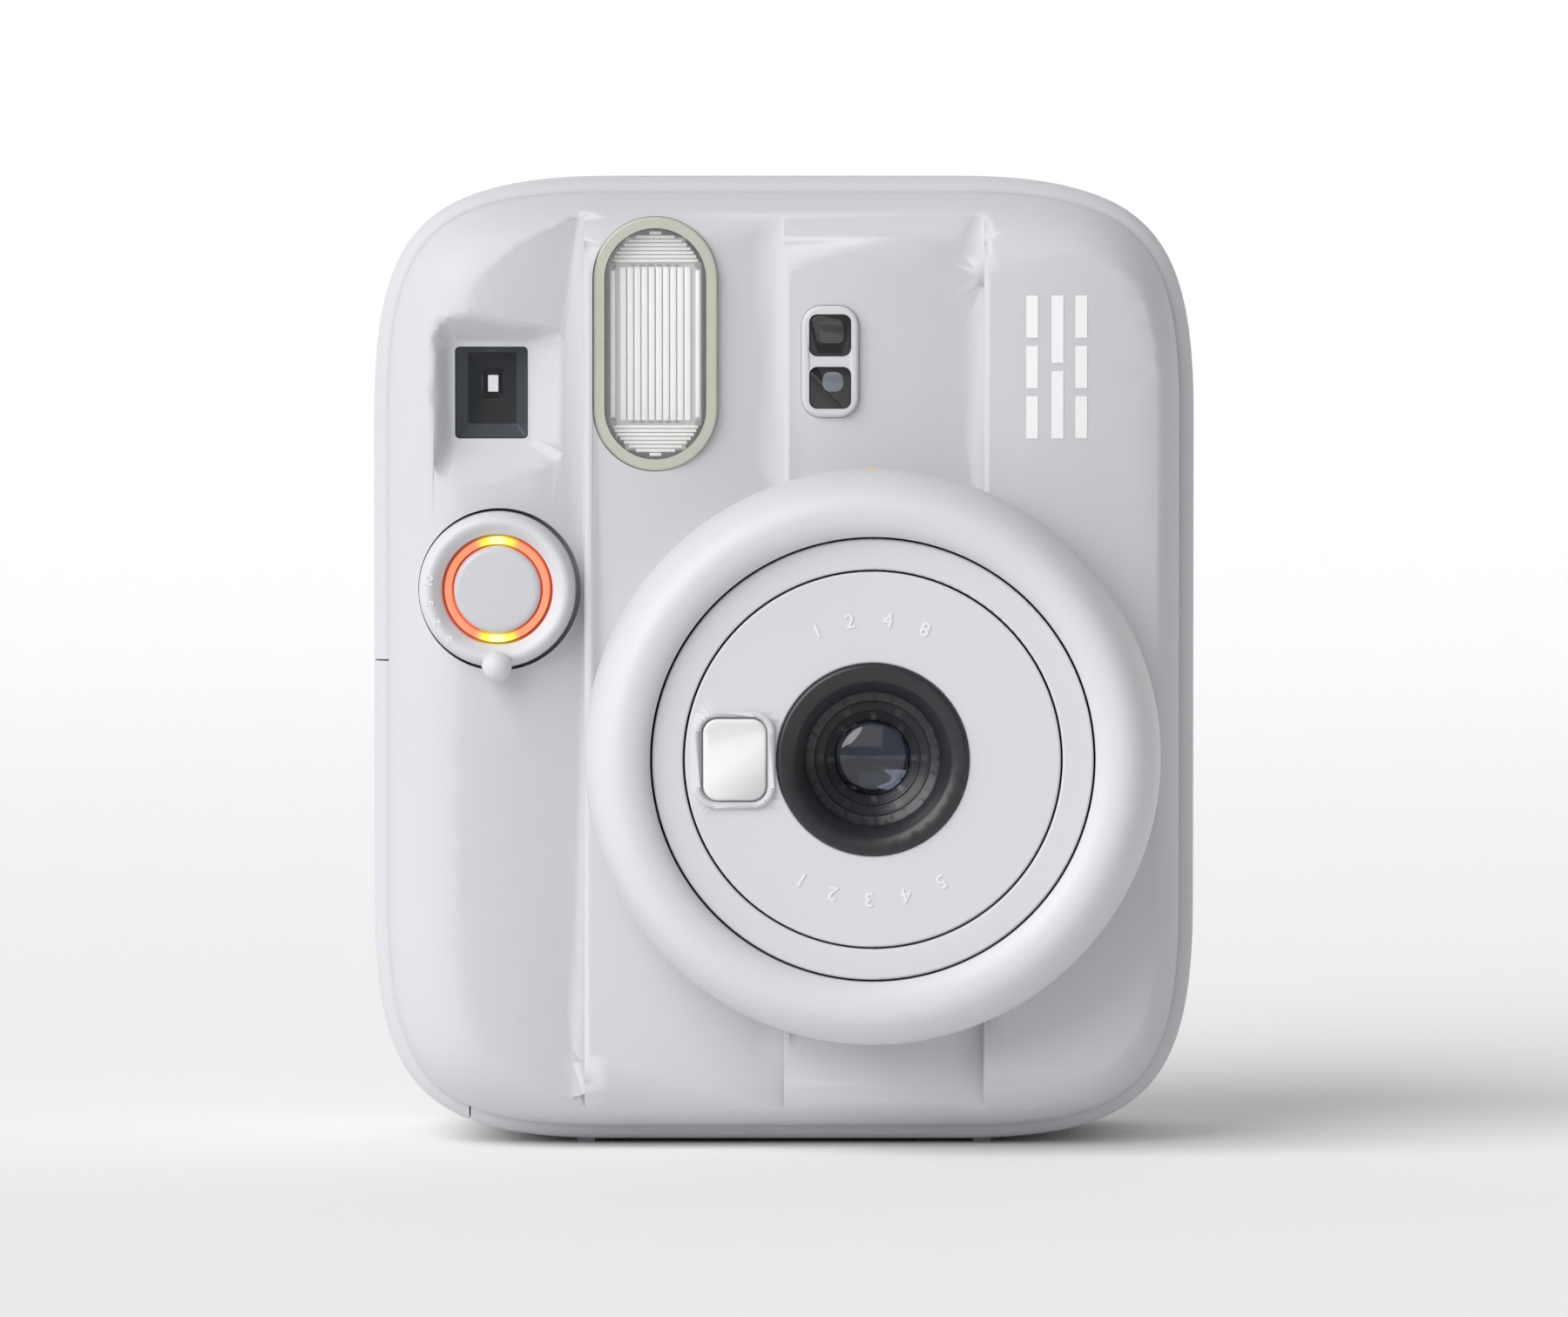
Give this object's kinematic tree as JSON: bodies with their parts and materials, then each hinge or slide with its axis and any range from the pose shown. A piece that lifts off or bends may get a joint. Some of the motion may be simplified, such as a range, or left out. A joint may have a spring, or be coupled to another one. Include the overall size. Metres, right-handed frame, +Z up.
{
  "type": "instant camera",
  "caption": "Instant film camera with a twist-out lens, pleated front, flash, finder, shutter button with self-timer dial, hinged film door and battery cover.",
  "frame": {"origin": "middle of the bounding box's bottom face, on the surface that the camera stands on", "axes": "+X to the right seen from the front, +Y from the lens towards the film door, +Z up"},
  "size_m": [0.104, 0.0666, 0.1228],
  "materials": {
    "shell": "fine satin texture, light clay white",
    "ring": "smooth satin, light clay white",
    "button": "smooth satin",
    "trim": "satin",
    "inner_black": "dead matt black",
    "grey_trim": "dark satin",
    "blade": "thin black-coated steel",
    "light_ring": "translucent coral",
    "gasket": "smoky translucent",
    "clear": "clear",
    "dark_window": "smoked clear plastic",
    "mirror": "convex mirror",
    "reflector": "bright reflector",
    "spring_steel": "bright steel",
    "roller": "ground steel",
    "gear": "natural acetal",
    "motor": "plated can",
    "cells": "printed jacket over a metal can",
    "capacitor": "shrink sleeve",
    "board": "solder mask",
    "chips": "moulded packages",
    "counter": "white printed dial",
    "feet": "soft grey rubber"
  },
  "bodies": {
    "housing": {"front_cover": "shell", "rear_body": "shell", "film_chassis": "inner_black", "roller_frame": "inner_black", "light_tunnel": "inner_black", "lens_mount": "inner_black", "gear_plate": "inner_black", "drive_motor": "motor", "button_mount": "inner_black", "timer_light_ring": "light_ring", "shutter_switch": "inner_black", "main_board": "board", "board_parts": "chips", "flash_capacitor": "capacitor", "flash_gasket": "gasket", "flash_window": "clear", "flash_reflector": "reflector", "flash_tube": "clear", "sensor_frame": "trim", "sensor_windows": "dark_window", "finder_tunnel": "inner_black", "eyepiece": "grey_trim", "finder_lenses": "clear", "counter_window": "clear", "film_exit_frame": "grey_trim", "housing_screws": "spring_steel", "foot_strips": "feet", "battery_holder": "inner_black", "battery_contacts": "spring_steel", "battery_cells": "cells", "hinge_pin": "spring_steel", "latch_spring": "spring_steel", "pick_spring": "spring_steel", "button_spring": "spring_steel"},
    "battery_cover": {"battery_cover": "shell"},
    "film_door": {"film_door": "shell", "door_panel": "inner_black", "film_door_window": "dark_window", "pressure_springs": "spring_steel"},
    "door_latch": {"door_latch": "grey_trim"},
    "lens_ring": {"lens_ring": "ring"},
    "lens_sleeve": {"lens_sleeve": "ring"},
    "lens_barrel": {"lens_barrel": "ring", "lens_bezel": "grey_trim", "lens_glasses": "clear", "shutter_plate": "inner_black", "rear_lens_cell": "inner_black", "selfie_mirror": "mirror"},
    "left_blade": {"left_shutter_blade": "blade"},
    "right_blade": {"right_shutter_blade": "blade"},
    "drive_roller": {"drive_roller": "roller", "roller_gear": "gear"},
    "pinch_roller": {"pinch_roller": "roller"},
    "upper_gear": {"upper_gear": "gear"},
    "lower_gear": {"lower_gear": "gear"},
    "motor_pinion": {"motor_pinion": "gear"},
    "film_pick": {"film_pick": "gear"},
    "counter_dial": {"counter_dial": "counter"},
    "self_timer_dial": {"self_timer_dial": "button"},
    "shutter_button": {"shutter_button": "button"}
  },
  "joints": [
    {"name": "battery_cover_slide", "type": "slide", "parent": "housing", "child": "battery_cover", "axis": [-1, 0, 0], "range_m": [0, 0.014]},
    {"name": "film_door_hinge", "type": "hinge", "parent": "housing", "child": "film_door", "pos_m": [0.04875, 0.03195, 0.0617], "axis": [0, 0, -1], "range_deg": [0, 100]},
    {"name": "door_latch_slide", "type": "slide", "parent": "housing", "child": "door_latch", "axis": [-1, 0, 0], "range_m": [0, 0.003], "stiffness_N_per_m": 250, "springref_m": -0.001, "deforming": ["latch_spring"]},
    {"name": "lens_ring_turn", "type": "hinge", "parent": "housing", "child": "lens_ring", "pos_m": [0.0111, 0, 0.0502], "axis": [0, -1, 0], "range_deg": [0, 60]},
    {"name": "lens_sleeve_slide", "type": "slide", "parent": "housing", "child": "lens_sleeve", "axis": [0, -1, 0], "range_m": [0, 0.006]},
    {"name": "lens_barrel_slide", "type": "slide", "parent": "lens_sleeve", "child": "lens_barrel", "axis": [0, -1, 0], "range_m": [0, 0.006]},
    {"name": "left_blade_turn", "type": "hinge", "parent": "lens_barrel", "child": "left_blade", "pos_m": [0.0028, -0.0222, 0.0502], "axis": [0, 1, 0], "range_deg": [0, 45], "stiffness_Nm_per_rad": 0.0005, "springref_deg": -17.19},
    {"name": "right_blade_turn", "type": "hinge", "parent": "lens_barrel", "child": "right_blade", "pos_m": [0.0194, -0.0216, 0.0502], "axis": [0, 1, 0], "range_deg": [0, 45]},
    {"name": "shutter_button_press", "type": "slide", "parent": "housing", "child": "shutter_button", "axis": [0, 1, 0], "range_m": [0, 0.0012], "stiffness_N_per_m": 700, "springref_m": -0.001, "deforming": ["button_spring"]},
    {"name": "self_timer_turn", "type": "hinge", "parent": "housing", "child": "self_timer_dial", "pos_m": [-0.0361, -0.0175, 0.071], "axis": [0, 1, 0], "range_deg": [0, 40]},
    {"name": "drive_roller_turn", "type": "hinge", "parent": "housing", "child": "drive_roller", "pos_m": [0.0111, 0.0069, 0.1091], "axis": [1, 0, 0], "continuous": true},
    {"name": "pinch_roller_turn", "type": "hinge", "parent": "housing", "child": "pinch_roller", "pos_m": [0.0111, 0.0139, 0.1091], "axis": [1, 0, 0], "continuous": true},
    {"name": "upper_gear_turn", "type": "hinge", "parent": "housing", "child": "upper_gear", "pos_m": [-0.0228, 0.0094, 0.09798], "axis": [1, 0, 0], "continuous": true},
    {"name": "lower_gear_turn", "type": "hinge", "parent": "housing", "child": "lower_gear", "pos_m": [-0.0228, 0.0104, 0.08421], "axis": [1, 0, 0], "continuous": true},
    {"name": "motor_pinion_turn", "type": "hinge", "parent": "housing", "child": "motor_pinion", "pos_m": [-0.0228, 0.0134, 0.07384], "axis": [1, 0, 0], "continuous": true},
    {"name": "film_pick_slide", "type": "slide", "parent": "housing", "child": "film_pick", "axis": [0, 0, 1], "range_m": [0, 0.007], "stiffness_N_per_m": 60, "springref_m": -0.002, "deforming": ["pick_spring"]},
    {"name": "counter_dial_turn", "type": "hinge", "parent": "housing", "child": "counter_dial", "pos_m": [-0.0369, 0.0291, 0.071], "axis": [0, 1, 0], "range_deg": [0, 300]}
  ],
  "couplings": [
    {"joint": "lens_sleeve_slide", "follows": "lens_ring_turn", "m_per_rad": 0.005729},
    {"joint": "lens_barrel_slide", "follows": "lens_ring_turn", "m_per_rad": 0.005729},
    {"joint": "right_blade_turn", "follows": "left_blade_turn", "ratio": 1},
    {"joint": "pinch_roller_turn", "follows": "drive_roller_turn", "ratio": -1},
    {"joint": "upper_gear_turn", "follows": "drive_roller_turn", "ratio": -0.72727},
    {"joint": "lower_gear_turn", "follows": "drive_roller_turn", "ratio": 0.66667},
    {"joint": "motor_pinion_turn", "follows": "drive_roller_turn", "ratio": -1.3333}
  ]
}
